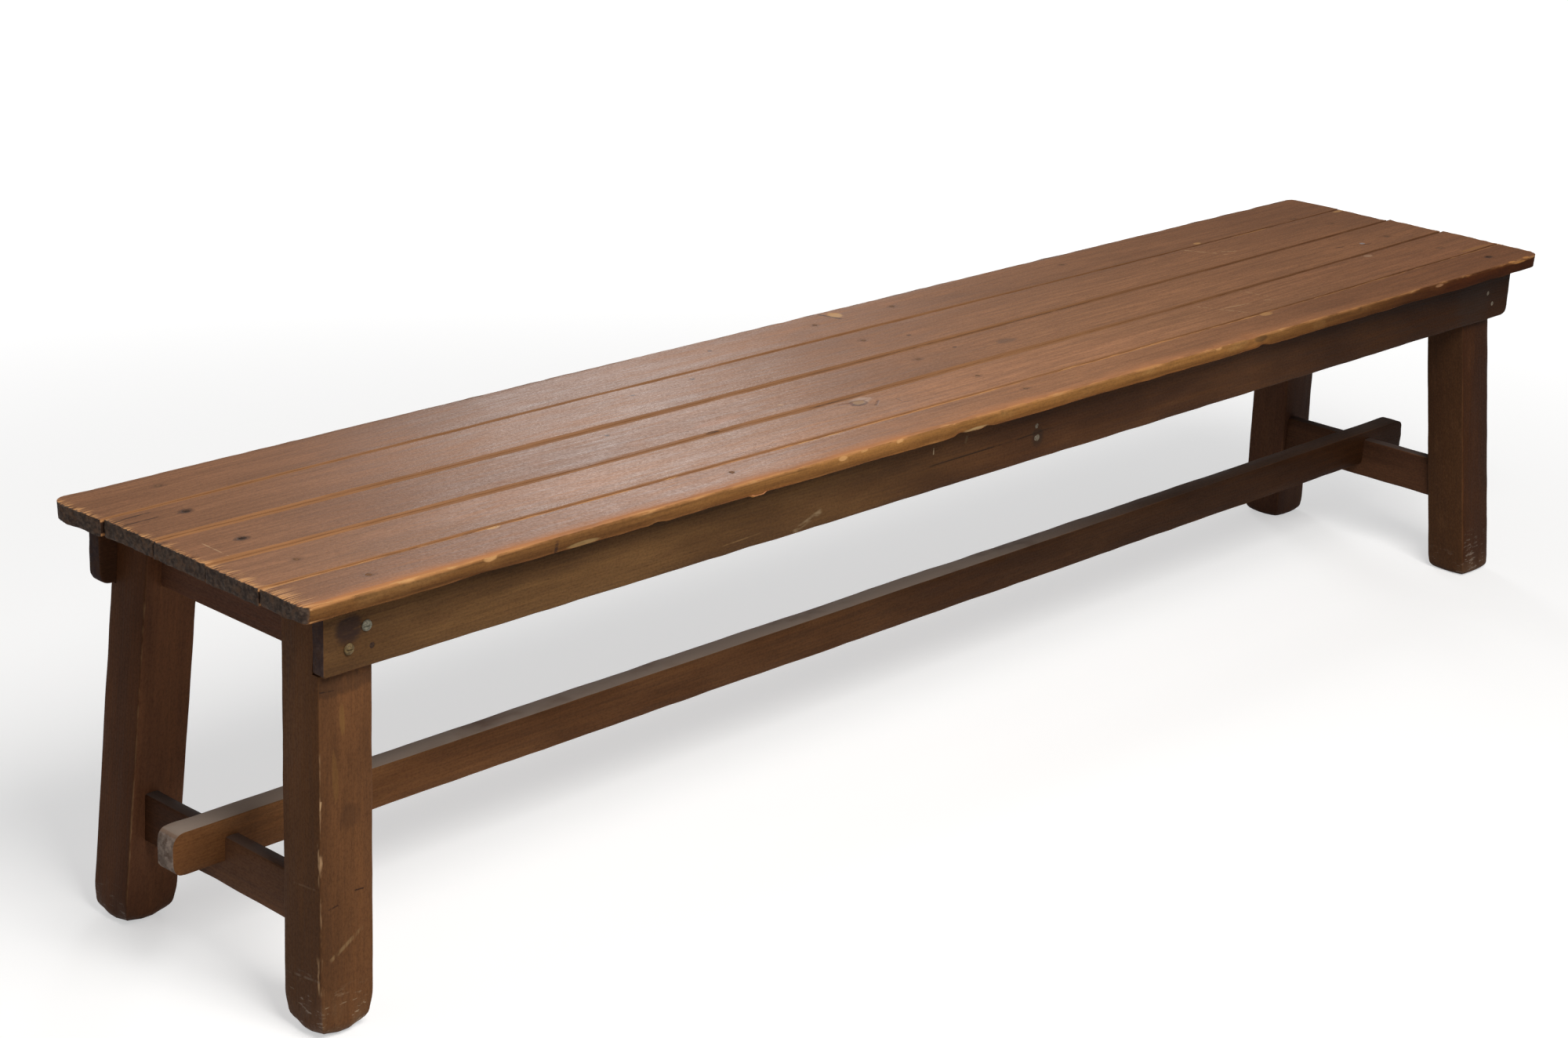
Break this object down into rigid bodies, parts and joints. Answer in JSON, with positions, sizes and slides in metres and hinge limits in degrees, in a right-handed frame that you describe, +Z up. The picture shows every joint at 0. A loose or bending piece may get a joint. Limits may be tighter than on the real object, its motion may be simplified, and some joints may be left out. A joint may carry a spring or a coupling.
{
  "type": "wooden bench",
  "caption": "Long plank-topped wooden bench on splayed legs, with aprons let into the legs, rails under the seat and a low stretcher halved over the cross stretchers.",
  "frame": {"origin": "the middle of the bench's footprint, on the floor", "axes": "+X along the bench, from the end that is nearer in the picture to the farther end; +Y from the front edge of the seat, which the picture shows, to its back edge; +Z up"},
  "size_m": [2.18, 0.4164, 0.463],
  "materials": {
    "seat_board_1_wood": "worn satin stain over softwood",
    "seat_board_2_wood": "worn satin stain over softwood",
    "seat_board_3_wood": "worn satin stain over softwood",
    "seat_board_4_wood": "worn satin stain over softwood",
    "seat_board_5_wood": "worn satin stain over softwood",
    "front_apron_wood": "dark stain, dull",
    "back_apron_wood": "dark stain, dull",
    "leg_front_left_wood": "dark stain, worn at the arrises",
    "leg_back_left_wood": "dark stain, worn at the arrises",
    "leg_front_right_wood": "dark stain, worn at the arrises",
    "leg_back_right_wood": "dark stain, worn at the arrises",
    "left_end_rail_wood": "dark stain, dull",
    "right_end_rail_wood": "dark stain, dull",
    "middle_rail_wood": "bare aged softwood",
    "left_cross_stretcher_wood": "dark stain, dusty top",
    "right_cross_stretcher_wood": "dark stain, dusty top",
    "long_stretcher_wood": "dark stain, dusty top",
    "nail_steel": "dulled, rusted",
    "screw_zinc": "dulled zinc"
  },
  "bodies": {
    "root": {"seat_board_1": "seat_board_1_wood", "seat_board_2": "seat_board_2_wood", "seat_board_3": "seat_board_3_wood", "seat_board_4": "seat_board_4_wood", "seat_board_5": "seat_board_5_wood", "front_apron": "front_apron_wood", "back_apron": "back_apron_wood", "leg_front_left": "leg_front_left_wood", "leg_back_left": "leg_back_left_wood", "leg_front_right": "leg_front_right_wood", "leg_back_right": "leg_back_right_wood", "left_end_rail": "left_end_rail_wood", "right_end_rail": "right_end_rail_wood", "middle_rail": "middle_rail_wood", "left_cross_stretcher": "left_cross_stretcher_wood", "right_cross_stretcher": "right_cross_stretcher_wood", "long_stretcher": "long_stretcher_wood", "seat_nail_left_1": "nail_steel", "seat_nail_left_2": "nail_steel", "seat_nail_left_3": "nail_steel", "seat_nail_left_4": "nail_steel", "seat_nail_left_5": "nail_steel", "seat_nail_middle_1": "nail_steel", "seat_nail_middle_2": "nail_steel", "seat_nail_middle_3": "nail_steel", "seat_nail_middle_4": "nail_steel", "seat_nail_middle_5": "nail_steel", "seat_nail_right_1": "nail_steel", "seat_nail_right_2": "nail_steel", "seat_nail_right_3": "nail_steel", "seat_nail_right_4": "nail_steel", "seat_nail_right_5": "nail_steel", "seat_nail_front_quarter": "nail_steel", "seat_nail_back_quarter": "nail_steel", "seat_nail_back_near_middle": "nail_steel", "apron_nail_front_left": "nail_steel", "apron_nail_front_right_1": "nail_steel", "apron_nail_front_right_2": "nail_steel", "apron_nail_back_right_1": "nail_steel", "apron_nail_back_right_2": "nail_steel", "apron_nail_front_middle_1": "nail_steel", "apron_nail_front_middle_2": "nail_steel", "apron_nail_back_middle_1": "nail_steel", "apron_nail_back_middle_2": "nail_steel", "lap_nail_left": "nail_steel", "lap_nail_right": "nail_steel", "apron_screw_front_left_1": "screw_zinc", "apron_screw_front_left_2": "screw_zinc", "apron_screw_back_left_1": "screw_zinc", "apron_screw_back_left_2": "screw_zinc"}
  },
  "joints": []
}
